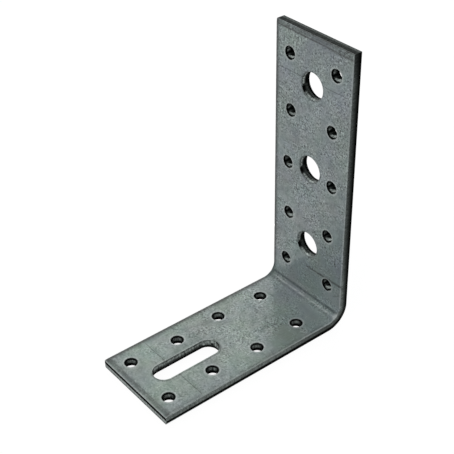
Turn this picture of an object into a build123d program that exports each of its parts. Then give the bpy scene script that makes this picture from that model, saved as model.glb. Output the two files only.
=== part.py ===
from build123d import *
import os

# A punched and folded steel angle bracket: one strip of flat bar with a tall leg and a short foot.
# Millimetres. X runs across the strip, the foot points to -Y, the tall leg stands up along +Z.
# The origin is midway across and along the foot, on the surface that the bracket stands on.

# The strip and its fold
strip_width = 40.0
thickness = 4.0
upright_height = 120.0
foot_length = 90.0
inner_bend_radius = 5.5

# The strip's long edges, softened more on the outside of the fold than on the inside
inside_edge_radius = 0.4
outside_edge_radius = 0.7

# The crease that the nose of the folding tool leaves along the inside of the bend
crease_nose_radius = 1.2
crease_depth = 0.12

# The sheared ends: a pressed bevel on the inside, then the cut, then a rounded outside edge
bevel_run = 1.7
bevel_drop = 0.4
bevel_corner_radius = 0.3
end_outside_radius = 0.6

# Nail holes, in pairs, with every second pair set closer together
nail_hole_diameter = 5.0
wide_pair_edge = 7.8
narrow_pair_edge = 8.85
upright_pairs = 5
upright_pair_margin = 11.0
upright_pair_heel = 6.7
foot_pairs = 4
foot_pair_margin = 6.9
foot_pair_heel = 9.55

# Bolt holes up the middle of the tall leg
bolt_hole_diameter = 11.0
bolt_holes = 3
bolt_margin = 20.0
bolt_heel = 19.9

# The slot along the middle of the foot
slot_width = 9.0
slot_length = 30.0
slot_margin = 9.25

# What punching does to a hole: an eased rim where the punch goes in, a wider mouth where it breaks out
eased_rim = 0.3
break_out_growth = 0.3
break_out_depth = 1.4

# How far a cutting shape reaches past the metal
overshoot = 1.0

# Places that follow from the sizes above
outer_bend_radius = inner_bend_radius + thickness
back_y = foot_length / 2
tip_y = -foot_length / 2
inside_y = back_y - thickness
bend_centre_y = back_y - outer_bend_radius
half_cut = strip_width / 2 + overshoot
pair_spacings = [strip_width - 2 * edge for edge in (wide_pair_edge, narrow_pair_edge)]
upright_pair_pitch = (
    upright_height - upright_pair_margin - upright_pair_heel - outer_bend_radius
) / (upright_pairs - 1)
foot_pair_pitch = (
    foot_length - foot_pair_margin - foot_pair_heel - outer_bend_radius
) / (foot_pairs - 1)
bolt_pitch = (upright_height - bolt_margin - bolt_heel - outer_bend_radius) / (bolt_holes - 1)
slot_centre_y = tip_y + slot_margin + slot_length / 2

# Planes on the two inside faces, with X across the strip
upright_face = Plane(origin=(0, inside_y, 0), x_dir=(1, 0, 0), z_dir=(0, -1, 0))
foot_face = Plane.XY.offset(thickness)

# Planes on the two ends, at the inside edge, with X pointing out of the end and Y out of the inside face
top_end = Plane(origin=(0, inside_y, upright_height), x_dir=(0, 0, 1), z_dir=(1, 0, 0))
tip_end = Plane(origin=(0, tip_y, thickness), x_dir=(0, -1, 0), z_dir=(-1, 0, 0))

with BuildPart() as angle_bracket:
    # The strip's section follows a line through the middle of the metal, down the leg and along the foot
    with BuildLine(Plane.YZ):
        middle = thickness / 2
        FilletPolyline(
            (back_y - middle, upright_height),
            (back_y - middle, middle),
            (tip_y, middle),
            radius=inner_bend_radius + middle,
        )
    top_of_line = Plane(origin=(0, back_y - middle, upright_height), x_dir=(1, 0, 0), z_dir=(0, 0, -1))
    with BuildSketch(top_of_line) as section:
        Rectangle(strip_width, thickness)
        fillet(section.vertices().group_by(Axis.Y)[-1], inside_edge_radius)
        fillet(section.vertices().group_by(Axis.Y)[0], outside_edge_radius)
    sweep()

    # The crease is a shallow channel halfway round the inside of the bend
    with BuildSketch(Plane.YZ):
        with Locations((bend_centre_y, outer_bend_radius)):
            with PolarLocations(inner_bend_radius + crease_depth - crease_nose_radius, 1, -45):
                Circle(crease_nose_radius)
    extrude(amount=half_cut, both=True, mode=Mode.SUBTRACT)

    # Each end is trimmed to its sheared outline
    for end_plane in (top_end, tip_end):
        with BuildSketch(end_plane):
            with BuildLine():
                edge = FilletPolyline(
                    (-bevel_run, 0),
                    (0, -bevel_drop),
                    (0, -thickness),
                    (-2 * end_outside_radius, -thickness),
                    radius=(bevel_corner_radius, end_outside_radius),
                )
                Polyline(
                    edge @ 1,
                    (-2 * end_outside_radius, -thickness - overshoot),
                    (overshoot, -thickness - overshoot),
                    (overshoot, overshoot),
                    (-bevel_run, overshoot),
                    edge @ 0,
                )
            make_face()
        extrude(amount=half_cut, both=True, mode=Mode.SUBTRACT)

    # Holes in the tall leg
    with BuildSketch(upright_face):
        for pair in range(upright_pairs):
            with Locations((0, upright_height - upright_pair_margin - pair * upright_pair_pitch)):
                with GridLocations(pair_spacings[pair % 2], 0, 2, 1):
                    Circle(nail_hole_diameter / 2)
        for bolt in range(bolt_holes):
            with Locations((0, upright_height - bolt_margin - bolt * bolt_pitch)):
                Circle(bolt_hole_diameter / 2)
    extrude(amount=-thickness, mode=Mode.SUBTRACT)

    # Holes in the foot
    with BuildSketch(foot_face):
        for pair in range(foot_pairs):
            with Locations((0, tip_y + foot_pair_margin + pair * foot_pair_pitch)):
                with GridLocations(pair_spacings[pair % 2], 0, 2, 1):
                    Circle(nail_hole_diameter / 2)
        with Locations((0, slot_centre_y)):
            SlotOverall(slot_length, slot_width, rotation=90)
    extrude(amount=-thickness, mode=Mode.SUBTRACT)

    # Rims are eased on the inside faces, where the punches go in
    inside_skins = (
        angle_bracket.faces().filter_by(Plane.XZ).sort_by(Axis.Y)[-2],
        angle_bracket.faces().filter_by(Plane.XY).sort_by(Axis.Z)[1],
    )
    chamfer([rim for skin in inside_skins for rim in skin.inner_wires().edges()], eased_rim)

    # Mouths widen on the outside faces, where the slugs break out
    for axis, across, place in ((Axis.Y, Plane.XZ, -1), (Axis.Z, Plane.XY, 0)):
        outside_skin = angle_bracket.faces().filter_by(across).sort_by(axis)[place]
        chamfer(
            outside_skin.inner_wires().edges(),
            length=break_out_growth,
            length2=break_out_depth,
            reference=outside_skin,
        )

angle_bracket.part.label = "angle_bracket"
os.makedirs("parts", exist_ok=True)
export_step(angle_bracket.part, "parts/angle_bracket.step")
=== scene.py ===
import math

import bmesh
import bpy
import numpy as np
from mathutils import Matrix, Vector, noise
from mathutils.geometry import delaunay_2d_cdt


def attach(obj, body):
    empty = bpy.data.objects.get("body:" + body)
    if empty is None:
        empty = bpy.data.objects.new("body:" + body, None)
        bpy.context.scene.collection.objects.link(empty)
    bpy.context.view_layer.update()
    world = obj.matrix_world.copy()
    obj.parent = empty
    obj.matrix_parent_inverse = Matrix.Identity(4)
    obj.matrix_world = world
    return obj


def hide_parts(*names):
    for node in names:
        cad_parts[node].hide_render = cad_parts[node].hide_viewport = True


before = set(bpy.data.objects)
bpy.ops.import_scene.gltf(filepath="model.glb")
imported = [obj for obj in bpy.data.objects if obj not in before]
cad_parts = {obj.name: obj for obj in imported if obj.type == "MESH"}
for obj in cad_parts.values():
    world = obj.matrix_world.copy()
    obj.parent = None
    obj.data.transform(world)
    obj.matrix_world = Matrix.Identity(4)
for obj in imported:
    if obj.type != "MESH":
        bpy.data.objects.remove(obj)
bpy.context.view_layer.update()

print("frame loaded")

mm = 0.001

# The strip as it lies flat before the fold, in millimetres: u across it, v down from the top end and round
# the bend, depth in from the inside face
strip = {
    "width": 40.0, "thick": 4.0, "tall": 120.0, "foot": 90.0, "innerRadius": 5.5,
    "insideEdge": 0.4,  # rounding of the long edges
    "outsideEdge": 0.14,
    "outsideEdgeGrowth": 0.56,  # how much rounder it is at the tip of the foot
    "endOutside": 0.15,
    "bevel": (1.7, 0.4, 0.3),  # the pressed bevel at both sheared ends: run, drop and rounding
    "bevelLine": (0.07, -0.1, 0.12),  # line at the bevel's inner border: depth, place and width
    "waviness": 0.012,  # how far the rolled faces are from flat
    "waves": 9, "wavePitch": (0.1, 0.45), "waveSeed": 11,
    "outsideShift": 31.0,  # sets the outside face's waves apart from the inside face's
    "sharpAngle": 38,
}
outerRadius = strip["innerRadius"] + strip["thick"]
bendRadius = strip["innerRadius"] + strip["thick"] / 2
bendStart = strip["tall"] - outerRadius
bendEnd = bendStart + bendRadius * math.pi / 2
bendMiddle = (bendStart + bendEnd) / 2
flatLength = bendEnd + strip["foot"] - outerRadius
halfWidth = strip["width"] / 2
bendCentre = (strip["foot"] / 2 - outerRadius, outerRadius)

# What the punch does, and where: rows of nail holes by height on the tall leg and by place along the foot
punched = {
    "nailRadius": 2.5, "wideHalf": 12.2, "narrowHalf": 11.15,
    "tallRows": [109.0, 85.8, 62.6, 39.4, 16.2],
    "footRows": [-38.1, -16.75, 4.6, 25.95],
    "boltRadius": 5.5, "boltRows": [100.0, 64.7, 29.4],
    "slotRadius": 4.5, "slotMiddle": -20.75,
    "slotHalf": 10.5,  # from the slot's middle to the centres of its round ends
    "dish": 0.05,  # how far the face sinks towards a hole
    "dishReach": 0.5,
    "breakDepth": 2.6,  # where the straight wall ends and the slug tears out
    "breakWander": 0.25, "breakCurve": 0.8,
    "tear": 0.05,  # roughness of the torn wall
    "tearScale": 3.0,
    "mouthNoise": (2.2, 7.1),  # scale, and how far apart it is from hole to hole
    "breakNoise": (1.6, 3),
    # for each kind: the roll-over at the rim, how far the break-out widens, and where the rim is black with
    # painted shade, as its turn in degrees from +u towards +v, how far round and how far out
    "kinds": {
        "tallNail": {"rim": 0.3, "growth": 0.02, "black": (158, 88, 0.25)},
        "footNail": {"rim": 0.3, "growth": 0.12, "black": (210, 180, 0.06)},
        "bolt": {"rim": 0.3, "growth": 0.25, "black": (150, 13, 0.2)},
        "slot": {"rim": 0.15, "growth": 0.2, "black": (290, 24, 0.14)},
    },
}

# The crease in the bend, and the fine lines that the tools left: (start, end, width, depth, darkness)
toolMarks = {
    "creaseRadius": 2.6, "creaseDepth": 0.12,
    "darkReach": 1.1,  # of a line's dark, in widths
    "lines": [
        ((-17.2, 185.38), (18.6, 185.38), 0.12, 0.03, 1.0),
        ((-17.5, 18.1), (17.4, 17.5), 0.14, 0.02, 0.8),
        ((0.5, 101.15), (7.5, 100.95), 0.26, 0.04, 1.4),
        ((7.5, 100.95), (19.7, 100.5), 0.38, 0.06, 1.7),
        ((16.4, 107.2), (19.2, 105.2), 0.25, 0.03, 0.6),
        ((-19.6, 91.4), (-16.4, 91.2), 0.16, 0.03, 0.4),
    ],
}

# How finely the mesh is divided, in millimetres
meshing = {
    "gridStep": 0.9, "bendStep": 0.4,
    "sideInsets": [0, 0.015, 0.055, 0.12, 0.2, 0.3, 0.4, 0.55, 0.7, 1.0],
    "endInsets": [0, 0.02, 0.07, 0.15, 0.23, 0.4, 0.65, 0.95, 1.25, 1.42, 1.52, 1.6, 1.68, 1.78, 1.95, 2.3],
    "insideRings": [0.0, 0.02, 0.06, 0.13, 0.2, 0.3, 0.5, 0.8, 1.25],
    "outsideRings": [0.0, 0.12, 0.3, 0.6, 1.1],
    "fewestHoleSteps": 12,  # in a quarter of a turn
    "holeStep": 0.3, "straightStep": 0.6, "lineStep": 0.6,
    "lineRows": (-2.2, -1.1, 0, 1.1, 2.2),  # across a tool line, in widths
    "ringToLine": 0.3,  # gaps from a hole's last ring to a tool line and to the grid
    "ringToGrid": 0.45, "lineToGrid": 0.15,
    "rimTest": 1.0,  # triangles this near to a hole may lie in it
    "cutRows": 16,  # rows of faces through the thickness
    "merge": 1e-5, "onOutline": 1e-4,
}


# The full amount at the place, fading to both sides
def band(distance, amount, place, width):
    return amount * np.exp(-(((distance - place) / width) ** 2))


# The full amount up to the reach, then a soft step to none
def border(distance, amount, reach, softness):
    return amount * np.clip((reach - distance) / softness + 0.5, 0, 1)


# Nought before the start, one past the end and a slope between
def ramp(value, start, end):
    return np.clip((value - start) / (end - start), 0, 1)


def roundOff(distance, radius):
    reach = radius - np.clip(distance, 0, radius)
    return radius - np.sqrt(np.maximum(radius * radius - reach * reach, 0))


# Noise over the flat strip: scale across, scale along and a layer of its own
def flatNoise(u, v, scaleU, scaleV, layer):
    return np.array([noise.noise(Vector((scaleU * a, layer, scaleV * b))) for a, b in zip(u, v)])


# Noise round a hole, which meets itself and differs from hole to hole
def ringNoise(hole, turn, scale, apart):
    layer = apart * hole["u"] + hole["v"]
    return noise.noise(Vector((scale * math.cos(turn), scale * math.sin(turn), layer)))


def spaced(start, end, step):
    return list(np.linspace(start, end, max(1, math.ceil((end - start) / step)) + 1))


def footV(y):
    return bendEnd + bendCentre[0] - y


holes = []


def punch(kind, u, v, radius, core=0.0):
    holes.append(dict(punched["kinds"][kind], kind=kind, u=u, v=v, radius=radius, core=core))


for kind, rows in (("tallNail", punched["tallRows"]), ("footNail", punched["footRows"])):
    for row, place in enumerate(rows):
        v = footV(place) if kind == "footNail" else strip["tall"] - place
        half = punched["narrowHalf"] if row % 2 else punched["wideHalf"]
        for side in (-1, 1):
            punch(kind, side * half, v, punched["nailRadius"])
for height in punched["boltRows"]:
    punch("bolt", 0, strip["tall"] - height, punched["boltRadius"])
punch("slot", 0.0, footV(punched["slotMiddle"]), punched["slotRadius"], punched["slotHalf"])


# How far points lie past the straight part of a hole's sides
def pastCore(v, hole):
    along = v - hole["v"]
    return along - np.clip(along, -hole["core"], hole["core"])


def holeDistance(u, v, hole):
    return np.hypot(u - hole["u"], pastCore(v, hole)) - hole["radius"]


# Which way points lie from a hole, in degrees from +u towards +v
def holeTurn(u, v, hole):
    return np.degrees(np.arctan2(pastCore(v, hole), u - hole["u"]))


# Points round a hole, offset into the metal: u, v and the turn
def holeLoop(hole, offset):
    quarter = math.ceil(hole["radius"] * math.pi / 2 / meshing["holeStep"])
    arc = np.linspace(0, math.pi, 2 * max(meshing["fewestHoleSteps"], quarter) + 1)
    straight = np.array(spaced(0, 2 * hole["core"], meshing["straightStep"])[1:-1])
    turn, core = [], []
    for end, first in ((1, 0), (-1, math.pi)):
        turn += list(first + arc)
        core += [end * hole["core"]] * len(arc)
        if hole["core"]:
            turn += [first + math.pi] * len(straight)
            core += list(end * (hole["core"] - straight))
        else:  # the next half starts where this one ends
            turn.pop()
            core.pop()
    turn, core, reach = np.array(turn), np.array(core), hole["radius"] + offset
    return hole["u"] + reach * np.cos(turn), hole["v"] + core + reach * np.sin(turn), turn


def lineDistance(u, v, start, end):
    run = np.subtract(end, start)
    share = np.clip(((u - start[0]) * run[0] + (v - start[1]) * run[1]) / (run @ run), 0, 1)
    return np.hypot(u - start[0] - share * run[0], v - start[1] - share * run[1])


# Distance across the crease, round the inside of the bend
def acrossBend(v):
    return (v - bendMiddle) * strip["innerRadius"] / bendRadius


waveChoice = np.random.default_rng(strip["waveSeed"])
waves = []
for _ in range(strip["waves"]):
    pitch = waveChoice.uniform(*strip["wavePitch"])
    waves.append((pitch, waveChoice.uniform(0, 2 * math.pi), waveChoice.uniform(0, 2 * math.pi)))


def waviness(u, v):
    total = np.zeros_like(u)
    for pitch, heading, phase in waves:
        total += np.sin(pitch * (u * math.cos(heading) + v * math.sin(heading)) + phase)
    return strip["waviness"] * (1 + total / len(waves))


def bevelDepth(end):
    run, drop, radius = strip["bevel"]
    slope = math.atan2(drop, run)
    reach = radius * math.tan((math.pi / 2 - slope) / 2)
    arc = drop + reach - np.sqrt(np.maximum(radius**2 - (radius - np.clip(end, 0, radius)) ** 2, 0))
    straight = drop * np.clip(1 - end / run, 0, 1)
    return np.where(end < reach * math.cos(slope), arc, straight) + band(end - run, *strip["bevelLine"])


def insideDepth(u, v):
    side, end = halfWidth - np.abs(u), np.minimum(v, flatLength - v)
    depth = np.maximum(roundOff(side, strip["insideEdge"]), bevelDepth(end))
    nose, across = toolMarks["creaseRadius"], acrossBend(v)
    crease = toolMarks["creaseDepth"] - nose + np.sqrt(np.maximum(nose * nose - across * across, 0))
    depth = depth + np.maximum(crease, 0)
    for start, end, width, deep, _ in toolMarks["lines"]:
        depth = depth + band(lineDistance(u, v, start, end), deep, 0, width)
    for hole in holes:
        away = np.maximum(holeDistance(u, v, hole), 0)
        depth = depth + roundOff(away, hole["rim"])
        depth = depth + punched["dish"] * np.exp(-away / punched["dishReach"])
    return depth + waviness(u, v)


def outsideDepth(u, v):
    side, end = halfWidth - np.abs(u), np.minimum(v, flatLength - v)
    softer = strip["outsideEdge"] + strip["outsideEdgeGrowth"] * ramp(v, bendEnd, flatLength)
    rise = np.maximum(roundOff(side, softer), roundOff(end, strip["endOutside"]))
    return strip["thick"] - rise - waviness(u + strip["outsideShift"], v)


# From the flat strip to the folded bracket, in metres
def fold(u, v, depth):
    turn = np.clip((v - bendStart) / bendRadius, 0, math.pi / 2)
    reach = strip["innerRadius"] + depth
    y = bendCentre[0] + reach * np.cos(turn) - np.maximum(v - bendEnd, 0)
    z = bendCentre[1] - reach * np.sin(turn) + np.maximum(bendStart - v, 0)
    return np.stack([u, y, z], 1) * mm


# How bright the cut metal is in the holes, from black (0) to burnished (1), in rows of depth and tone:
# partly the real burnished and torn zones, partly painted highlights and painted shade, fixed round each
# hole. A patch is (turn, lean, before, after, rows) and takes over round its turn, which is in degrees from
# +u towards +v and leans with depth
wallTones = {
    "tallNail": {"plain": [(0, 0)], "patches": [
        (112, -15, 25, 20, [
            (0.5, 0), (0.65, 0.1), (0.85, 0.5), (1, 1), (1.4, 1), (1.8, 0.75), (2.4, 0.5), (3, 0.4)]),
        (138, 0, 9, 9, [(0.5, 0.02), (1, 0.15), (1.5, 0.15), (2, 0.08), (2.8, 0.03)]),
        (181, 0, 13, 11, [
            (0.5, 0), (0.8, 0.15), (1.1, 0.5), (1.4, 0.5), (1.8, 0.25), (2.4, 0.12), (2.8, 0)]),
        (211, 0, 9, 11, [(0.5, 0), (0.7, 0.3), (0.95, 1), (1.5, 1), (1.9, 0.6), (2.4, 0.15)]),
    ]},
    "footNail": {"plain": [(0, 0)], "patches": [
        (218, 0, 49, 44, [
            (0.85, 0), (1.05, 0.2), (1.3, 0.36), (2, 0.32), (2.4, 0.22), (2.7, 0.05), (2.85, 0)]),
    ]},
    "bolt": {"plain": [
        (0.3, 0.46), (0.8, 0.64), (1, 0.6), (1.3, 0.34), (1.6, 0.12), (1.85, 0.02), (2.2, 0),
        (4, 0)], "patches": [
        (62, 0, 24, 22, [(0.4, 0.5), (1, 0.48), (1.4, 0.34), (2, 0.3), (2.6, 0.14), (3, 0.04)]),
        (91, 0, 10, 10, [
            (0.2, 0.66), (0.5, 0.82), (0.8, 0.7), (1, 0.64), (1.3, 0.36), (1.6, 0.22), (2.4, 0.22),
            (2.8, 0.12), (3.1, 0.02)]),
        (120, 0, 20, 18, [
            (0.2, 0.5), (0.6, 0.5), (0.9, 0.6), (1.1, 0.5), (1.4, 0.28), (1.65, 0.12), (1.9, 0.04),
            (2.3, 0.16), (2.8, 0.12), (3.1, 0)]),
        (152, -2, 18, 17, [(0, 0), (1, 0), (1.3, 0.04), (2.2, 0.1), (2.7, 0.07), (2.9, 0)]),
    ]},
    "slot": {"plain": [
        (0.15, 0.5), (0.4, 0.36), (0.7, 0.28), (1, 0.38), (1.3, 0.48), (1.55, 0.4), (1.8, 0.27), (2.2, 0.19),
        (2.6, 0.12), (2.9, 0.05), (3.2, 0)], "patches": [
        (262, 0, 60, 60, [(0.2, 0.3), (0.5, 0.45), (2.3, 0.5), (2.6, 0.28), (2.85, 0.06), (3.1, 0)]),
        (240, 0, 8, 8, [(0.3, 0.6), (0.6, 0.85), (1.2, 0.85), (1.5, 0.4), (1.8, 0.12), (2.8, 0.08)]),
        (277, 0, 11, 11, [
            (0.15, 0.04), (0.4, 0.14), (1, 0.22), (1.5, 0.4), (2, 0.62), (2.4, 0.5), (2.8, 0.15)]),
        (301, 0, 16, 16, [(0.1, 0), (0.4, 0.08), (0.9, 0.25), (1.6, 0.3), (2.3, 0.25), (2.7, 0.05)]),
        (197, 0, 6, 6, [(0.4, 0.4), (1.2, 0.4), (1.6, 0.8), (2.2, 1), (2.5, 0.6), (2.9, 0.05)]),
        (131, 0, 23, 23, [(0.1, 0.12), (0.7, 0.1), (1.5, 0.07), (2, 0.02), (3, 0)]),
    ]},
    "leanDepth": 1.2,  # where a leaning patch is at its own turn
    "patchPower": 6,  # the higher, the harder the border of a patch
    "wander": 0.6,
}


def toneFrom(table, depth):
    return np.interp(depth, *zip(*table))


def wallTone(hole, depth, turn):
    tones = wallTones[hole["kind"]]
    tone = toneFrom(tones["plain"], depth)
    for middle, lean, before, after, rows in tones["patches"]:
        off = (math.degrees(turn) - middle - lean * (depth - wallTones["leanDepth"]) + 180) % 360 - 180
        share = math.exp(-((off / (before if off < 0 else after)) ** wallTones["patchPower"]))
        tone += (toneFrom(rows, depth) - tone) * share
    return tone


# The sheared outline: tones by depth on both long edges, which differ along the tall leg and the foot, and
# on the two ends. The tones are partly the real burnished and torn zones and partly painted light and shade:
# the darkness of the sides is largely painted shade, the light lines on the ends painted highlights. Past
# the smooth share of the thickness the cut is rough
shearCut = {
    "tallSide": [
        (0.4, 0.33), (0.8, 0.235), (1.1, 0.185), (1.6, 0.15), (2, 0.1), (2.5, 0.055), (2.9, 0.02), (3.1, 0)],
    "footSide": [
        (0.4, 0.44), (0.65, 0.38), (1, 0.31), (1.5, 0.34), (1.9, 0.35), (2.15, 0.26), (2.4, 0.05),
        (2.55, 0)],
    "topEnd": [(0.5, 0.05), (0.9, 0.09), (2.4, 0.09), (2.8, 0.17), (3.2, 0.22), (4, 0.18)],
    "tipEnd": [
        (0.6, 0.22), (0.85, 0.1), (1.05, 0), (1.85, 0), (2.1, 0.42), (2.45, 0.68), (3.1, 0.5), (3.5, 0.42),
        (4, 0.35)],
    "topFade": (-2, 11),  # painted shade at the top of the tall leg's side, painted light towards the bend
    "topTone": 0.4,
    "brightFade": (84, 104), "bright": 0.7,
    "footTone": 0.6,  # the foot's side starts darker, with painted shade by the bend, and comes up over this length
    "footFade": 26.0, "smoothShare": 0.4,
    "inset": 0.09, "roughness": 0.1,
    "noises": [(1.3, 5, 1), (4, 9, 0.5)],  # scale along the cut, scale through the thickness, share
}


def cutTone(v, depth, onEnd):
    if onEnd:
        return toneFrom(shearCut["topEnd" if v < flatLength / 2 else "tipEnd"], depth)
    foot = ramp(v, bendStart, bendEnd)
    tall = max(ramp(v, *shearCut["topFade"]), shearCut["topTone"])
    tall *= 1 + shearCut["bright"] * ramp(v, *shearCut["brightFade"])
    wornAndPainted = np.interp(v, (bendEnd, bendEnd + shearCut["footFade"]), (shearCut["footTone"], 1))
    tallTone, footTone = (toneFrom(shearCut[name], depth) for name in ("tallSide", "footSide"))
    return tallTone * (1 - foot) * tall + footTone * foot * wornAndPainted


# Marks on the faces run from 0 to 1: rubbed bright, which is painted highlight on the inside face and rubbed
# zinc on the outside one; darkened, which is painted shade, with the dark of the tool lines and of the
# outside rims; bent; and pressed, painted light near the bend. A line is (amount, place, width) and a band
# with an even tone is (amount, reach, softness), in millimetres from the edge, end or hole that they follow.
# A fade is the two places between which a mark comes in, or how far it takes. Near is the edge towards +u,
# far the other one
# Painted light and shade along the long edges: a painted highlight on the near corner, and painted shade in
# lines and bands beside both edges
edgeLightAndShade = {
    "nearLine": (0.5, 0.16, 0.26),
    "nearDull": (0.6, 104, 14),  # along the strip, where the near line is weaker
    "nearAmounts": (0.1, 0.34),  # on the tall leg and on the foot
    "nearBand": (0.8, 0.75),  # their place and width
    "farLine": (1, 0.47, 0.55),
    "farBands": ((0.5, 2.3), (0.62, 2.7)),  # amount and reach, on the tall leg and on the foot
    "farStart": 1.1, "farWander": 0.25,
    "footFade": 4.0, "endFade": 0.6,
    "wander": (0.45, 0.45, 3.7),  # noise: scale across, scale along and layer
}


def paintEdgeLightAndShade(u, v, wander):
    near, far = halfWidth - u, halfWidth + u
    onFoot = ramp(v, bendEnd, bendEnd + edgeLightAndShade["footFade"])
    notEnd = ramp(np.minimum(v, flatLength - v), 0, edgeLightAndShade["endFade"])
    rubbedAndHighlit = band(near, *edgeLightAndShade["nearLine"]) * (1 - band(v, *edgeLightAndShade["nearDull"])) * notEnd
    nearAmount = np.interp(onFoot, (0, 1), edgeLightAndShade["nearAmounts"])
    darkened = band(near, nearAmount, *edgeLightAndShade["nearBand"]) * (1 + wander)
    darkened += band(far, *edgeLightAndShade["farLine"]) * notEnd
    for (amount, reach), share in zip(edgeLightAndShade["farBands"], (1 - onFoot, onFoot)):
        end = reach * (1 + edgeLightAndShade["farWander"] * wander)
        darkened += amount * share * ramp(far, end, edgeLightAndShade["farStart"])
    return rubbedAndHighlit, darkened


# Painted light and shade at the two ends: painted highlights on the corners, and painted shade over the
# pressed bevels and along their borders
endLightAndShade = {
    "topRubbed": [(0.1, 0.08, 0.16), (0.1, 2.8, 0.24)],
    "topTilt": 0.017,  # how much the line along the top end leans
    "topLine": (1, 1.93, 0.24),
    "topBand": (0.45, 2.03, 0.25),
    "topSecondLine": (0.2, 0.9, 0.24), "topDark": (0.9, 0.3, 0.15), "topDarkFade": (-12, -4),
    "tipRubbed": [(1, 0.08, 0.16), (0.08, 2.85, 0.24)],
    "tipBand": (0.58, 2.25, 0.2), "tipBandFade": (0.1, 0.9),
    "tipBandLeast": 0.2, "tipBandWander": 0.25,
}


def paintEndLightAndShade(u, v, wander):
    top, tip = v, flatLength - v
    tilted = top - endLightAndShade["topTilt"] * u
    rubbedAndHighlit = sum(band(top, *line) for line in endLightAndShade["topRubbed"])
    rubbedAndHighlit += sum(band(tip, *line) for line in endLightAndShade["tipRubbed"])
    darkened = border(tilted, *endLightAndShade["topBand"]) + band(tilted, *endLightAndShade["topLine"])
    darkened += band(top, *endLightAndShade["topSecondLine"])
    darkened += border(top, *endLightAndShade["topDark"]) * ramp(u, *endLightAndShade["topDarkFade"])
    tipFade = np.maximum(ramp(tip, *endLightAndShade["tipBandFade"]), endLightAndShade["tipBandLeast"])
    darkened += border(tip - endLightAndShade["tipBandWander"] * wander, *endLightAndShade["tipBand"]) * tipFade
    return rubbedAndHighlit, darkened


# Painted light and shade along the crease: a line of painted shade beside a painted highlight, with smears
# and a haze of both. The places of lines and smears are across the bend, from its middle; fades and edges
# run along the crease
creaseLightAndShade = {
    "ripple": (0.75, 0.2, 11.3), "rippleAmount": 1.4,
    "dark": (1.3, -1.05, 0.42), "darkRipple": 0.7,
    "sideFade": (7, 11),  # the dark line is wider and weaker on the near side
    "sideSpread": 0.2, "sideEase": 0.22,
    "light": (0.8, 0.75, 0.25), "lightFade": (2, 5),
    "shade": (0.36, 1.7, 0.5),
    "haze": (0.13, -2.85, 1), "hazeFade": (0, 8),
    "nearSmear": (1.3, 0.4, 1.2), "nearSmearEdge": (1, 1.3, 1),
    "farSmear": (0.5, 0.2, 1.2), "farSmearEdge": (1, 1.6, 1.8),
}


def paintCreaseLightAndShade(u, v):
    near, far, across = halfWidth - u, halfWidth + u, acrossBend(v)
    ripple = flatNoise(u, v, *creaseLightAndShade["ripple"])
    uneven = 1 + creaseLightAndShade["rippleAmount"] * ripple
    rubbedAndHighlit = band(across, *creaseLightAndShade["light"]) * uneven * ramp(far, *creaseLightAndShade["lightFade"])
    rubbedAndHighlit += band(across, *creaseLightAndShade["nearSmear"]) * border(near, *creaseLightAndShade["nearSmearEdge"])
    side = ramp(u, *creaseLightAndShade["sideFade"])
    amount, place, width = creaseLightAndShade["dark"]
    amount = amount * (1 - creaseLightAndShade["sideEase"] * side) * (1 - creaseLightAndShade["darkRipple"] * ripple)
    darkened = band(across, amount, place, width + creaseLightAndShade["sideSpread"] * side)
    darkened += band(across, *creaseLightAndShade["farSmear"]) * band(far, *creaseLightAndShade["farSmearEdge"])
    darkened += band(across, *creaseLightAndShade["haze"]) * ramp(np.abs(u), *creaseLightAndShade["hazeFade"])
    darkened += band(across, *creaseLightAndShade["shade"]) * uneven
    return rubbedAndHighlit, darkened


# Painted shade in and beside the bend. The pressed mark is painted light with a bluer colour: lighter
# zinc near the bend and on a pale patch of the tall leg. Places are along the strip, but the bend's own
# shade is measured from its middle
bendLightAndShade = {
    "bentReach": 1.6,
    "bendShade": (0.12, 0, 2.4), "footShade": (0.12, 139.5, 5),
    "farShade": (0.16, 127, 7), "farShadeFade": (2, -6),
    "pressed": ((0.7, 111, 9, 2.2), (1, 121.8, 1.9, 6.5)),  # amount, middle, reach before and after
    "palePatch": ((0.35, -10, 8), (1, 87, 9)),  # across and along
}


def paintBendLightAndShade(u, v):
    darkened = band(v - bendMiddle, *bendLightAndShade["bendShade"]) + band(v, *bendLightAndShade["footShade"])
    darkened += band(v, *bendLightAndShade["farShade"]) * ramp(u, *bendLightAndShade["farShadeFade"])
    share = ramp(np.maximum(bendStart - v, v - bendEnd), bendLightAndShade["bentReach"], -bendLightAndShade["bentReach"])
    acrossPale, alongPale = bendLightAndShade["palePatch"]
    pressed = band(u, *acrossPale) * band(v, *alongPale)
    for amount, middle, before, after in bendLightAndShade["pressed"]:
        pressed += band(v, amount, middle, np.where(v < middle, before, after))
    return darkened, share * share * (3 - 2 * share), pressed


# Painted light and shade round the holes: painted highlight rings, and painted shade on the rims, in the
# outlines and in a bite at the bolt holes' rims
holeLightAndShade = {
    "nailRing": (0.95, 0.52, 0.25), "nailRim": (1, 0.19, 0.12),
    "nailRimTurn": 160,  # where a nail hole's rim is darkest on the tall leg
    "nailRimFar": 0.45,
    "boltOutline": (0.6, 0.22, 0.24),
    "boltBite": (1, 150, 14),  # amount, turn and spread
    "boltBiteEdge": (1, 0.25, 0.2),
    "slotRing": (0.7, 0.2, 0.26), "slotFarRing": (0.12, 1.4, 0.338),
    "slotOutline": (0.75, 0.34, 0.28),
    "slotOutlineStep": 0.46,  # how much further out it lies on the near side
    "slotShadeFade": (-3.5, -1.5), "slotSideFade": (2, 4.5),
}


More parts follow.
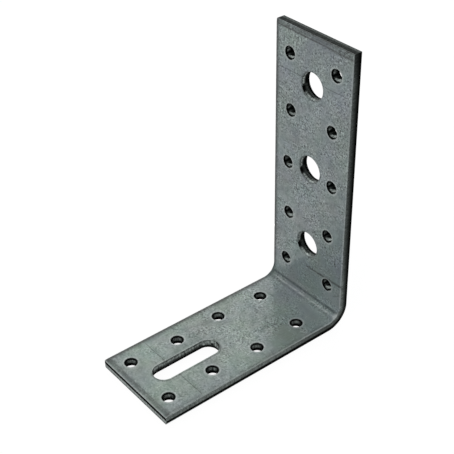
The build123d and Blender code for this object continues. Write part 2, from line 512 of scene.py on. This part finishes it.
def paintHoleLightAndShade(u, v):
    rubbedAndHighlit, darkened = np.zeros(len(u)), np.zeros(len(u))
    for hole in holes:
        gap, turn = holeDistance(u, v, hole), holeTurn(u, v, hole)
        if hole["kind"] == "bolt":
            darkened += band(gap, *holeLightAndShade["boltOutline"])
            darkened += band(turn, *holeLightAndShade["boltBite"]) * border(gap, *holeLightAndShade["boltBiteEdge"])
        elif hole["kind"] == "slot":
            shaded, side = ramp(u, *holeLightAndShade["slotShadeFade"]), ramp(u, *holeLightAndShade["slotSideFade"])
            rubbedAndHighlit += (1 - shaded) * band(gap, *holeLightAndShade["slotRing"])
            rubbedAndHighlit += shaded * band(gap, *holeLightAndShade["slotFarRing"])
            darkened += shaded * band(gap - holeLightAndShade["slotOutlineStep"] * side, *holeLightAndShade["slotOutline"])
        else:
            rubbedAndHighlit += band(gap, *holeLightAndShade["nailRing"])
            away = 0.5 - 0.5 * np.cos(np.radians(turn - holeLightAndShade["nailRimTurn"]))
            lighter = holeLightAndShade["nailRimFar"] * away if hole["kind"] == "tallNail" else 0
            darkened += border(gap, *holeLightAndShade["nailRim"]) * (1 - lighter)
    return rubbedAndHighlit, darkened


# The inside face's marks: painted light and shade along edges, ends, crease, bend and holes, and the dark of
# the tool lines
def insideMarks(u, v):
    wander = flatNoise(u, v, *edgeLightAndShade["wander"])
    wornAndPainted = (paintEdgeLightAndShade(u, v, wander), paintEndLightAndShade(u, v, wander), paintCreaseLightAndShade(u, v), paintHoleLightAndShade(u, v))
    rubbedAndHighlit, darkened = (sum(parts) for parts in zip(*wornAndPainted))
    shade, bent, pressed = paintBendLightAndShade(u, v)
    darkened += shade
    for start, end, width, _, dark in toolMarks["lines"]:
        darkened += band(lineDistance(u, v, start, end), dark, 0, toolMarks["darkReach"] * width)
    return rubbedAndHighlit, darkened, bent, pressed


# On the outside face only edges and rims are worn, and the zinc is stretched round the bend
outsideWear = {
    "edge": (0.5, 0, 0.5), "rim": (0.6, 0, 0.3), "ring": (0.3, 0.7, 0.3),
    "bent": 0.7, "pressed": 0.5,
}


def outsideMarks(u, v):
    edge = np.minimum(halfWidth - np.abs(u), np.minimum(v, flatLength - v))
    rubbedAndHighlit, darkened = band(edge, *outsideWear["edge"]), np.zeros(len(u))
    for hole in holes:
        gap = holeDistance(u, v, hole) - hole["growth"]
        darkened += band(np.maximum(gap, 0), *outsideWear["rim"])
        rubbedAndHighlit += band(gap, *outsideWear["ring"])
    bent = outsideWear["bent"] * ramp(np.abs(v - bendMiddle), bendEnd - bendStart, 0)
    return rubbedAndHighlit, darkened, bent, np.full(len(u), outsideWear["pressed"])


# How far the torn mouth stands out from the straight wall, uneven round the hole
def mouthOffset(hole):
    ragged = [ringNoise(hole, turn, *punched["mouthNoise"]) for turn in holeLoop(hole, 0)[2]]
    return hole["growth"] + punched["tear"] * np.array(ragged)


def insidePolygon(px, py, loopU, loopV):
    crossed = np.zeros(len(px), bool)
    for i in range(len(loopU)):
        x0, y0, x1, y1 = loopU[i - 1], loopV[i - 1], loopU[i], loopV[i]
        if y0 != y1:
            crossed ^= ((y0 > py) != (y1 > py)) & (px < (x1 - x0) * (py - y0) / (y1 - y0) + x0)
    return crossed


sideInsets, endInsets, gridStep = meshing["sideInsets"], meshing["endInsets"], meshing["gridStep"]
uLines = [-halfWidth + x for x in sideInsets]
uLines += spaced(-halfWidth + sideInsets[-1], halfWidth - sideInsets[-1], gridStep)[1:-1]
uLines += [halfWidth - x for x in reversed(sideInsets)]
vLines = endInsets + spaced(endInsets[-1], bendStart, gridStep)[1:-1]
vLines += spaced(bendStart, bendEnd, meshing["bendStep"])
vLines += spaced(bendEnd, flatLength - endInsets[-1], gridStep)[1:-1]
vLines += [flatLength - x for x in reversed(endInsets)]


# One face of the strip: its points and triangles, the outline's points and each rim's points
def meshFace(rings, rimOffset):
    points, edges, rims, rimIds = [], [], [], []

    def addLoop(loopU, loopV):
        first, count = len(points), len(loopU)
        points.extend(zip(loopU, loopV))
        edges.extend((first + i, first + (i + 1) % count) for i in range(count))
        return list(range(first, first + count))

    outline = [(x, 0.0) for x in uLines[:-1]] + [(halfWidth, y) for y in vLines[:-1]]
    outline += [(x, flatLength) for x in reversed(uLines[1:])]
    outline += [(-halfWidth, y) for y in reversed(vLines[1:])]
    outlineIds = addLoop(*zip(*outline))
    for hole in holes:
        loops = [holeLoop(hole, rimOffset(hole) + ring)[:2] for ring in rings]
        rims.append(loops[0])
        rimIds.append([addLoop(*loop) for loop in loops][0])

    for start, end, width, _, _ in toolMarks["lines"]:
        start, whole = np.array(start), np.subtract(end, start)
        length = np.linalg.norm(whole)
        run = whole / length
        shares = np.linspace(0, 1, math.ceil(length / meshing["lineStep"]) + 1)
        for row in meshing["lineRows"]:
            shift = row * width * np.array([-run[1], run[0]])
            line = np.array([start + shift + share * whole for share in shares])
            clear = [holeDistance(*line.T, hole) > rings[-1] + meshing["ringToLine"] for hole in holes]
            points.extend(map(tuple, line[np.all(clear, axis=0)]))
    gridU, gridV = (grid.ravel() for grid in np.meshgrid(uLines[1:-1], vLines[1:-1]))
    keep = np.ones(len(gridU), bool)
    for hole in holes:
        keep &= holeDistance(gridU, gridV, hole) > rings[-1] + meshing["ringToGrid"]
    for start, end, width, _, _ in toolMarks["lines"]:
        reach = meshing["lineRows"][-1] * width + meshing["lineToGrid"]
        keep &= lineDistance(gridU, gridV, start, end) > reach
    points.extend(zip(gridU[keep], gridV[keep]))

    made = delaunay_2d_cdt([Vector(point) for point in points], edges, [], 0, meshing["merge"])
    coords, triangles = np.array([tuple(point) for point in made[0]]), np.array(made[2])
    place = {old: new for new, olds in enumerate(made[3]) for old in olds}
    centres = coords[triangles].mean(axis=1)
    inMetal = np.ones(len(triangles), bool)
    for hole, rim in zip(holes, rims):
        near = holeDistance(*centres.T, hole) < meshing["rimTest"]
        inMetal[near] &= ~insidePolygon(*centres[near].T, *rim)
    rimIds = [[place[i] for i in ids] for ids in rimIds]
    return coords, triangles[inMetal], [place[i] for i in outlineIds], rimIds


# The bracket as it grows: points as (u, v, depth), their marks and cut tone, faces and their finishes
flat, looks, faces, kinds = [], [], [], []
skin, sheared, holeWall = 0, 1, 2


# Zinc on the inside face, and the black part of its rims, which is painted shade in the cut steel's darkest
# colour
def insideKinds(u, v):
    black = np.zeros(len(u), bool)
    for hole in holes:
        turn, spread, reach = hole["black"]
        off = np.abs((holeTurn(u, v, hole) - turn + 180) % 360 - 180)
        black |= (off < spread) & (holeDistance(u, v, hole) < reach)
    return np.where(black, holeWall, skin)


def addFace(name, rings, rimOffset, depthAt, marksAt, kindsAt):
    coords, triangles, outline, rims = meshFace(rings, rimOffset)
    first, (u, v) = len(flat), coords.T
    flat.extend(zip(u, v, depthAt(u, v)))
    looks.extend(zip(*np.clip(marksAt(u, v), 0, 1), np.zeros(len(u))))
    faces.extend((triangles + first).tolist())
    kinds.extend(kindsAt(*coords[triangles].mean(axis=1).T))
    print(name, len(triangles))
    return [first + i for i in outline], [[first + i for i in rim] for rim in rims]


def joinRows(rows, kind):
    for upper, lower in zip(rows, rows[1:]):
        for i in range(len(upper)):
            j = (i + 1) % len(upper)
            faces.append((upper[i], upper[j], lower[j], lower[i]))
            kinds.append(kind)


# The sheared outline: a smooth cut near the inside face, then a rough one a little further in
def shearOutline(outlineIn, outlineOut):
    rows = [outlineIn]
    for share in np.linspace(0, 1, meshing["cutRows"] + 2)[1:-1]:
        row = []
        for top, bottom in zip(outlineIn, outlineOut):
            u, v, upper = flat[top]
            depth = upper + (flat[bottom][2] - upper) * share
            onSide = halfWidth - abs(u) < meshing["onOutline"]
            onEnd = min(v, flatLength - v) < meshing["onOutline"]
            rough = sum(
                weight * noise.noise(Vector((u * along, v * along, share * through)))
                for along, through, weight in shearCut["noises"])
            inset = shearCut["inset"] + shearCut["roughness"] * rough
            inset = 0 if onSide and onEnd else max(0, max(0, share - shearCut["smoothShare"]) * inset)
            row.append(len(flat))
            newU = u - math.copysign(inset, u) * onSide
            newV = v + math.copysign(inset, flatLength / 2 - v) * onEnd
            flat.append((newU, newV, depth))
            looks.append((0, 0, 0, 0, cutTone(v, depth, onEnd)))
        rows.append(row)
    joinRows(rows + [outlineOut], sheared)


# A hole's wall: straight and burnished, then the torn cone
def wallHole(hole, rimIn, rimOut):
    rows = [rimIn]
    for depth in np.linspace(hole["rim"], strip["thick"], meshing["cutRows"] + 2)[1:-1]:
        row = []
        for first, turn, growth in zip(rimIn, holeLoop(hole, 0)[2], mouthOffset(hole)):
            u, v, _ = flat[first]
            wander = punched["breakWander"] * ringNoise(hole, turn, *punched["breakNoise"])
            begin = punched["breakDepth"] + wander
            share = max(0, (depth - begin) / (strip["thick"] - begin))
            ragged = noise.noise(Vector([punched["tearScale"] * part for part in (u, v, depth)]))
            out = growth * share ** punched["breakCurve"] + punched["tear"] * share * ragged
            row.append(len(flat))
            flat.append((u + out * math.cos(turn), v + out * math.sin(turn), depth))
            looks.append((0, 0, 0, 0, wallTone(hole, depth + wallTones["wander"] * wander, turn)))
        rows.append(row)
    joinRows(rows + [rimOut], holeWall)


def addObject(name, data):
    made = bpy.data.objects.new(name, data)
    bpy.context.scene.collection.objects.link(made)
    return made


def buildBracket():
    outlineIn, rimsIn = addFace(
        "inside face", meshing["insideRings"], lambda hole: 0.0, insideDepth, insideMarks, insideKinds)
    outlineOut, rimsOut = addFace(
        "outside face", meshing["outsideRings"], mouthOffset, outsideDepth, outsideMarks,
        lambda u, v: np.full(len(u), skin))
    shearOutline(outlineIn, outlineOut)
    for hole, rimIn, rimOut in zip(holes, rimsIn, rimsOut):
        wallHole(hole, rimIn, rimOut)

    places = np.array(flat)
    mesh = bpy.data.meshes.new("foldedStrip")
    mesh.from_pydata(fold(*places.T).tolist(), [], faces)
    mesh.polygons.foreach_set("material_index", np.array(kinds, np.int32))
    layer = mesh.attributes.new("flatPlace", "FLOAT_VECTOR", "POINT")
    layer.data.foreach_set("vector", places.astype(np.float32).ravel())
    for name, column in zip(("rubbedAndHighlit", "darkened", "bent", "pressed", "cutTone"), zip(*looks)):
        layer = mesh.attributes.new(name, "FLOAT", "POINT")
        layer.data.foreach_set("value", np.array(column, np.float32))

    work = bmesh.new()
    work.from_mesh(mesh)
    bmesh.ops.recalc_face_normals(work, faces=work.faces)
    loose = [edge for edge in work.edges if len(edge.link_faces) != 2]
    print("open edges", len(loose), "volume in mm3", round(work.calc_volume() / mm**3, 1))
    work.to_mesh(mesh)
    work.free()
    mesh.shade_smooth()
    mesh.set_sharp_from_angle(angle=math.radians(strip["sharpAngle"]))
    return addObject("foldedStrip", mesh)


bracket = buildBracket()
print("bracket built", len(bracket.data.polygons))


# Links what comes from a node and sets a plain value
def feed(tree, node, inputs):
    for name, value in inputs.items():
        if isinstance(value, bpy.types.NodeSocket):
            tree.links.new(value, node.inputs[name])
        else:
            node.inputs[name].default_value = value


# Adds a shader node of a kind and gives back its outputs
def addNode(tree, kind, inputs, **settings):
    made = tree.nodes.new("ShaderNode" + kind)
    for name, value in settings.items():
        setattr(made, name, value)
    feed(tree, made, inputs)
    return made.outputs


def mathNode(tree, operation, a, b=0.5, clamp=False):
    return addNode(tree, "Math", {0: a, 1: b}, operation=operation, use_clamp=clamp)[0]


def multiply(tree, a, b, clamp=False):
    return mathNode(tree, "MULTIPLY", a, b, clamp)


def less(tree, a, b):
    return mathNode(tree, "SUBTRACT", a, b, clamp=True)  # never below nought


def add(tree, a, b):
    return mathNode(tree, "ADD", a, b)


def mixColour(tree, factor, a, b, blend="MIX"):
    inputs = {0: factor, 6: a, 7: b}
    return addNode(tree, "Mix", inputs, data_type="RGBA", blend_type=blend)[2]


def mapRange(tree, value, fromLow, fromHigh, toLow=0.0, toHigh=1.0):
    inputs = {"Value": value, "From Min": fromLow, "From Max": fromHigh, "To Min": toLow, "To Max": toHigh}
    return addNode(tree, "MapRange", inputs)["Result"]


def noiseAt(tree, place, scale, detail, roughness, stretch=None):
    if stretch:
        place = addNode(tree, "Mapping", {"Vector": place, "Scale": stretch})["Vector"]
    inputs = {"Vector": place, "Scale": scale, "Detail": detail, "Roughness": roughness}
    return addNode(tree, "TexNoise", inputs)["Fac"]


def readAttribute(tree, name, output="Fac"):
    return addNode(tree, "Attribute", {}, attribute_name=name)[output]


def startGroup(name, inputs, outputs):
    tree = bpy.data.node_groups.new(name, "ShaderNodeTree")
    for label, value in inputs.items():
        kind = "NodeSocketColor" if isinstance(value, tuple) else "NodeSocketFloat"
        tree.interface.new_socket(name=label, in_out="INPUT", socket_type=kind).default_value = value
    for label in outputs:
        kind = "NodeSocketColor" if label == "Color" else "NodeSocketFloat"
        tree.interface.new_socket(name=label, in_out="OUTPUT", socket_type=kind)
    return tree, tree.nodes.new("NodeGroupInput").outputs, tree.nodes.new("NodeGroupOutput")


def useGroup(tree, group, inputs):
    return addNode(tree, "Group", inputs, node_tree=group)


# Mottle of the zinc. A noise is (scale, detail, roughness) and, where it is drawn out along the strip, its
# stretch. A range is (from low, from high), to which (to low, to high) is added where it isn't 0 to 1
mottle = {
    "cloud": (0.3, 4, 0.6), "slow": (0.05, 2, 0.5), "grain": (1.2, 2.5, 0.7),
    "drawn": (1.0, 3.0, 0.6, (1.5, 0.16, 1)),
    "shares": (0.06, 0.22, 0.2, 0.57),  # of the crystal patches, the cloud, the drawn and the slow noise
    "levels": (0.06, 1.06),
    "fields": (0.1, 3, 0.6),  # the fine contrast comes in fields, with clean areas between them
    "fieldRange": (0.4, 0.64), "fieldContrast": (0, 1, 0.08, 2.05),
    "grainRange": (0.3, 0.7, -1, 1), "grainSoft": 0.06, "grainSharp": 0.66,
    "footRange": (124, 140),  # along the strip, where the foot begins to look different
    "footContrast": (0, 1, 1, 0.68), "tipContrast": (152, 182, 1, 0.45),
    "tallTintAndLight": (1.09, 1.075, 1.08, 1), "footTintAndLight": (1.005, 1.045, 0.95, 1),
    "tints": [  # slow turns from bluish to yellowish and from purple to green
        ((0.083, 2, 0.6), (0.97, 0.99, 1.035, 1), (1.03, 1.01, 0.965, 1)),
        ((0.071, 2, 0.6), (1.03, 0.965, 1.03, 1), (0.97, 1.035, 0.97, 1)),
    ],
    "tintRange": (0.35, 0.65),
    "spots": (1.5, 2, 0.6),  # sparse specks, dark and light
    "darkSpots": (0.31, 0.36, 1, 0), "darkSpeck": (0.04, 0.048, 0.048, 1),
    "lightSpots": (0.67, 0.73), "lightSpeck": (0.36, 0.42, 0.41, 1),
    "scuffPath": (0.45, 2, 0.5),  # scuffs run where this noise passes its middle value
    "scuffPlaces": (0.5, 2, 0.5), "scuffRange": (0.45, 0.5),
    "scuffWidth": (0.012, 0.022, 1, 0),
    "scuffSides": [(-0.02, (0.05, 0.06, 0.06, 1)), (0.02, (0.38, 0.45, 0.44, 1))],  # dark and light
    "roughness": (0, 1, 0.62, 0.46), "gloss": (0.82, 1.18, 0.1, 1), "cloudHeight": 0.5,
}


def makeMottleGroup():
    tree, given, output = startGroup(
        "zincMottle",
        {"Light": (0.3, 0.3, 0.3, 1), "Dark": (0.2, 0.2, 0.2, 1), "Patch Size": 1.6, "Specks": 0.5,
         "Scuffs": 0.5, "Calm": 0.0},
        ("Color", "Roughness", "Gloss", "Height"),
    )
    place = readAttribute(tree, "flatPlace", "Vector")
    cloud, slow, grain, drawn, spots = (
        noiseAt(tree, place, *mottle[name]) for name in ("cloud", "slow", "grain", "drawn", "spots"))
    cellInputs = {"Vector": place, "Scale": mathNode(tree, "DIVIDE", 1.0, given["Patch Size"])}
    cells = addNode(tree, "TexVoronoi", cellInputs, feature="F1")
    patch = addNode(tree, "SeparateColor", {"Color": cells["Color"]})["Red"]
    along = addNode(tree, "SeparateXYZ", {"Vector": place})["Y"]
    onFoot = mapRange(tree, along, *mottle["footRange"])

    # The fine contrast is calmer on pressed zinc, along the foot and towards its tip
    fields = mapRange(tree, noiseAt(tree, place, *mottle["fields"]), *mottle["fieldRange"])
    lively = less(tree, 1.0, given["Calm"])
    lively = multiply(tree, lively, mapRange(tree, onFoot, *mottle["footContrast"]))
    lively = multiply(tree, lively, mapRange(tree, along, *mottle["tipContrast"]))
    busy = multiply(tree, lively, mapRange(tree, fields, *mottle["fieldContrast"]))
    swing = mapRange(tree, grain, *mottle["grainRange"])
    sharp = multiply(tree, swing, mathNode(tree, "ABSOLUTE", swing))
    soft = multiply(tree, swing, mottle["grainSoft"])
    total = multiply(tree, add(tree, soft, multiply(tree, sharp, mottle["grainSharp"])), busy)
    for part, share in zip((patch, cloud, drawn, slow), mottle["shares"]):
        total = add(tree, total, multiply(tree, part, share))
    level = mapRange(tree, total, *mottle["levels"])
    base = mixColour(tree, level, given["Dark"], given["Light"])

    # The tint of the passivated zinc, with painted light: the tall leg's colour is lighter than the foot's
    leg = mixColour(tree, onFoot, mottle["tallTintAndLight"], mottle["footTintAndLight"])
    base = mixColour(tree, 1.0, base, leg, "MULTIPLY")
    for texture, low, high in mottle["tints"]:
        share = mapRange(tree, noiseAt(tree, place, *texture), *mottle["tintRange"])
        base = mixColour(tree, 1.0, base, mixColour(tree, share, low, high), "MULTIPLY")

    specks = multiply(tree, multiply(tree, given["Specks"], fields), lively)
    darkSpeck = multiply(tree, mapRange(tree, spots, *mottle["darkSpots"]), specks)
    lightSpeck = multiply(tree, mapRange(tree, spots, *mottle["lightSpots"]), specks)
    base = mixColour(tree, darkSpeck, base, mottle["darkSpeck"])
    base = mixColour(tree, lightSpeck, base, mottle["lightSpeck"])

    path = mathNode(tree, "SUBTRACT", noiseAt(tree, place, *mottle["scuffPath"]), 0.5)
    short = mapRange(tree, noiseAt(tree, place, *mottle["scuffPlaces"]), *mottle["scuffRange"])
    scuffs = multiply(tree, multiply(tree, given["Scuffs"], busy), short, clamp=True)
    for middle, colour in mottle["scuffSides"]:
        side = mathNode(tree, "ABSOLUTE", mathNode(tree, "SUBTRACT", path, middle))
        scuff = multiply(tree, mapRange(tree, side, *mottle["scuffWidth"]), scuffs)
        base = mixColour(tree, scuff, base, colour)

    shine = mapRange(tree, add(tree, grain, cloud), *mottle["gloss"])
    feed(tree, output, {
        "Color": base,
        "Roughness": mapRange(tree, level, *mottle["roughness"]),
        "Gloss": less(tree, shine, darkSpeck),
        "Height": add(tree, grain, multiply(tree, cloud, mottle["cloudHeight"])),
    })
    return tree


# A mark from the mesh, broken up by noise
brokenUp = {"detail": 4.0, "roughness": 0.65, "range": (0.3, 0.7)}


def makeMarkGroup():
    tree, given, output = startGroup("brokenMark", {"Mark": 0.0, "Break Up": 0.5, "Grain": 1.3}, ("Mask",))
    place = readAttribute(tree, "flatPlace", "Vector")
    speckle = noiseAt(tree, place, given["Grain"], brokenUp["detail"], brokenUp["roughness"])
    wornAndPainted = multiply(tree, mapRange(tree, speckle, *brokenUp["range"]), given["Break Up"])
    feed(tree, output, {"Mask": multiply(tree, given["Mark"], less(tree, 1.0, wornAndPainted), clamp=True)})
    return tree


# Cut steel, with score lines that run through the plate
cutGrain = {
    "scores": (1.0, 3.0, 0.6, (1.7, 1.7, 0.35)),
    "scoreRange": (0.35, 0.65, -0.4, 0.4),
    "lumps": (1.9, 4, 0.65), "lumpRange": (0.35, 0.65, -0.5, 0.5),
    "rustRange": (0.5, 0.68), "rust": (0.05, 0.032, 0.018, 1),
    "metal": (0.05, 0.5, 0, 0.9), "roughness": (0, 0.5, 0.6, 0.4),
}


def makeCutGroup():
    tree, given, output = startGroup(
        "cutSteel",
        {"Burnished": (0.4, 0.4, 0.4, 1), "Black": (0.01, 0.01, 0.01, 1), "Scores": 0.6, "Rust": 0.2},
        ("Color", "Metal", "Roughness", "Height"),
    )
    place = readAttribute(tree, "flatPlace", "Vector")
    scores, lumps = (noiseAt(tree, place, *cutGrain[name]) for name in ("scores", "lumps"))
    scored = mapRange(tree, scores, *cutGrain["scoreRange"])
    swing = add(tree, scored, mapRange(tree, lumps, *cutGrain["lumpRange"]))
    uneven = add(tree, multiply(tree, swing, given["Scores"]), 1.0)
    tone = multiply(tree, readAttribute(tree, "cutTone"), uneven, clamp=True)
    base = mixColour(tree, tone, given["Black"], given["Burnished"])
    rust = multiply(tree, mapRange(tree, lumps, *cutGrain["rustRange"]), given["Rust"])
    feed(tree, output, {
        "Color": mixColour(tree, rust, base, cutGrain["rust"]),
        "Metal": mapRange(tree, tone, *cutGrain["metal"]),
        "Roughness": mapRange(tree, tone, *cutGrain["roughness"]),
        "Height": add(tree, scores, lumps),
    })
    return tree


mottleGroup, markGroup, cutGroup = makeMottleGroup(), makeMarkGroup(), makeCutGroup()


def startMaterial(name):
    material = bpy.data.materials.new(name)
    material.use_nodes = True
    return material, material.node_tree, material.node_tree.nodes["Principled BSDF"]


def bumpFrom(tree, height, finish):
    inputs = {"Height": height, "Strength": finish["bump"], "Distance": finish["bumpDistance"]}
    return addNode(tree, "Bump", inputs)["Normal"]


# The zinc: a bright colour for painted highlights and rubbed zinc, a dark one for painted shade and dark
# marks, bluer in the bend, and a lighter pressed colour for painted light near the bend
zincCoat = {
    "light": (0.34, 0.418, 0.416, 1), "dark": (0.05, 0.0625, 0.0625, 1),
    "patchSize": 1.5, "specks": 1.0, "scuffs": 0.6, "metallic": 0.2, "film": 1.0, "filmRoughness": 0.14,
    "bright": (0.46, 0.5, 0.49, 1), "brightBreakUp": 0.6, "brightGrain": 1.3,
    "paintedShadeAndGrime": (0.042, 0.0425, 0.0415, 1), "bendPaintedShade": (0.03, 0.046, 0.048, 1),
    "paintedShadeAndGrimeBreakUp": 0.4, "paintedShadeAndGrimeGrain": 0.9,
    "pressed": (0.35, 0.42, 0.415, 1),
    "pressedAmount": 0.3, "pressedCalm": 0.15,
    "bump": 0.6, "bumpDistance": 0.07 * mm,
}


def makeZincMaterial():
    material, tree, shader = startMaterial("zincSkin")
    rubbedAndHighlit, darkened, bent, pressed = (
        readAttribute(tree, name) for name in ("rubbedAndHighlit", "darkened", "bent", "pressed"))
    surface = useGroup(tree, mottleGroup, {
        "Light": zincCoat["light"], "Dark": zincCoat["dark"], "Patch Size": zincCoat["patchSize"],
        "Specks": zincCoat["specks"], "Scuffs": zincCoat["scuffs"],
        "Calm": multiply(tree, pressed, zincCoat["pressedCalm"])})
    bright, paintedShadeAndGrime = (
        useGroup(tree, markGroup, {
            "Mark": mark, "Break Up": zincCoat[name + "BreakUp"], "Grain": zincCoat[name + "Grain"]})["Mask"]
        for name, mark in (("bright", rubbedAndHighlit), ("paintedShadeAndGrime", darkened)))
    base = mixColour(
        tree, multiply(tree, pressed, zincCoat["pressedAmount"]), surface["Color"], zincCoat["pressed"])
    base = mixColour(tree, paintedShadeAndGrime, base, mixColour(tree, bent, zincCoat["paintedShadeAndGrime"], zincCoat["bendPaintedShade"]))
    film = less(tree, less(tree, surface["Gloss"], bent), paintedShadeAndGrime)
    feed(tree, shader, {
        "Base Color": mixColour(tree, bright, base, zincCoat["bright"]),
        "Metallic": zincCoat["metallic"],
        "Roughness": surface["Roughness"],
        "Coat Weight": multiply(tree, film, zincCoat["film"]),
        "Coat Roughness": zincCoat["filmRoughness"],
        "Normal": bumpFrom(tree, surface["Height"], zincCoat),
    })
    return material


# Cut steel: its burnished colour also gives painted highlights on the cut faces and in the holes, and its
# darkest colour gives painted shade
cutFinishes = {
    "shearedSteel": {
        "burnished": (0.375, 0.43, 0.41, 1), "black": (0.0015, 0.002, 0.0017, 1), "scores": 0.75,
        "rust": 0.08, "gleam": 0.005, "bump": 0.6, "bumpDistance": 0.06 * mm},
    "punchedSteel": {
        "burnished": (0.37, 0.42, 0.4, 1), "black": (0.0004, 0.0012, 0.001, 1), "scores": 1.1,
        "rust": 0.04, "gleam": 0.005, "bump": 0.6, "bumpDistance": 0.05 * mm},
}


def makeCutMaterial(name, finish):
    material, tree, shader = startMaterial(name)
    inputs = {label: finish[label.lower()] for label in ("Burnished", "Black", "Scores", "Rust")}
    surface = useGroup(tree, cutGroup, inputs)
    feed(tree, shader, {
        "Base Color": surface["Color"],
        "Metallic": surface["Metal"],
        "Roughness": surface["Roughness"],
        "Specular IOR Level": finish["gleam"],
        "Normal": bumpFrom(tree, surface["Height"], finish),
    })
    return material


# In the order of skin, sheared and holeWall
bracket.data.materials.append(makeZincMaterial())
for name, finish in cutFinishes.items():
    bracket.data.materials.append(makeCutMaterial(name, finish))
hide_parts("angle_bracket")
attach(bracket, "root")
print("finishes applied")

# White floor and surroundings, a large soft light behind to the left and another in front
studio = {
    "floorSize": 6.0, "floorDrop": 0.15 * mm,
    "floorGlow": 0.93,  # the floor as background: its own light, and the grey that takes the shadows
    "floorShade": 0.12,
    "floorBounce": 0.6,  # its grey for all other rays
    "surround": 0.5,
    "softboxes": {  # place, aim, size and power
        "backSoftbox": ((-0.61, 0.46, 0.56), (0, -0.01, 0), 0.8, 2.0),
        "frontSoftbox": ((0.25, -0.8, 0.7), (0, 0, 0.04), 0.9, 3.0),
    },
}


# One for the rays that see the background: straight from the camera, off gloss or through glass
def lightPathMask(tree):
    path = addNode(tree, "LightPath", {})
    seen = mathNode(tree, "MAXIMUM", path["Is Camera Ray"], path["Is Glossy Ray"])
    return mathNode(tree, "MAXIMUM", seen, path["Is Transmission Ray"])


def grey(level):
    return (level, level, level, 1)


def buildStudio():
    half = studio["floorSize"] / 2
    mesh = bpy.data.meshes.new("studioFloor")
    corners = [(-half, -half, 0), (half, -half, 0), (half, half, 0), (-half, half, 0)]
    mesh.from_pydata(corners, [], [(0, 1, 2, 3)])
    floor = addObject("studioFloor", mesh)
    floor.location.z = -studio["floorDrop"]
    material, tree, shader = startMaterial("whiteFloor")
    tree.nodes.remove(shader)
    glow = addNode(tree, "Emission", {"Strength": studio["floorGlow"]})[0]
    faint = addNode(tree, "BsdfDiffuse", {"Color": grey(studio["floorShade"])})[0]
    plain = addNode(tree, "BsdfDiffuse", {"Color": grey(studio["floorBounce"])})[0]
    both = addNode(tree, "AddShader", {0: glow, 1: faint})[0]
    chosen = addNode(tree, "MixShader", {0: lightPathMask(tree), 1: plain, 2: both})[0]
    feed(tree, tree.nodes["Material Output"], {"Surface": chosen})
    mesh.materials.append(material)

    world = bpy.data.worlds.new("whiteSurround")
    bpy.context.scene.world = world
    world.use_nodes = True
    tree = world.node_tree
    strength = mapRange(tree, lightPathMask(tree), 0, 1, studio["surround"], 1.0)
    feed(tree, tree.nodes["Background"], {"Color": grey(1), "Strength": strength})

    for name, (place, aim, size, power) in studio["softboxes"].items():
        data = bpy.data.lights.new(name, "AREA")
        data.shape, data.size, data.energy = "SQUARE", size, power
        made = addObject(name, data)
        made.location = place
        made.rotation_euler = (Vector(aim) - Vector(place)).to_track_quat("-Z", "Y").to_euler()


buildStudio()

# The camera: angles in degrees, lengths in millimetres, and the near and far clip in metres
viewpoint = {
    "angles": (51.863, 35.246, -1.217),  # turn, height and roll
    "distance": 382.94, "aim": (-0.19, 0.716, 56.30),
    "lens": 82.956, "sensor": 36.0,
    "clip": (0.01, 20),
}


def placeCamera():
    turn, height, roll = map(math.radians, viewpoint["angles"])
    back = Vector((math.sin(turn) * math.cos(height), -math.cos(turn) * math.cos(height), math.sin(height)))
    right = Vector((math.cos(turn), math.sin(turn), 0))
    up = back.cross(right)
    across = right * math.cos(roll) + up * math.sin(roll)
    upward = up * math.cos(roll) - right * math.sin(roll)
    data = bpy.data.cameras.new("photoCamera")
    data.lens, data.sensor_width = viewpoint["lens"], viewpoint["sensor"]
    data.clip_start, data.clip_end = viewpoint["clip"]
    camera = addObject("photoCamera", data)
    axes = Matrix((across, upward, back)).transposed().to_4x4()
    axes.translation = (Vector(viewpoint["aim"]) + back * viewpoint["distance"]) * mm
    camera.matrix_world = axes
    bpy.context.scene.camera = camera


placeCamera()
bpy.context.scene.view_settings.view_transform = "Standard"
print("studio and camera placed")
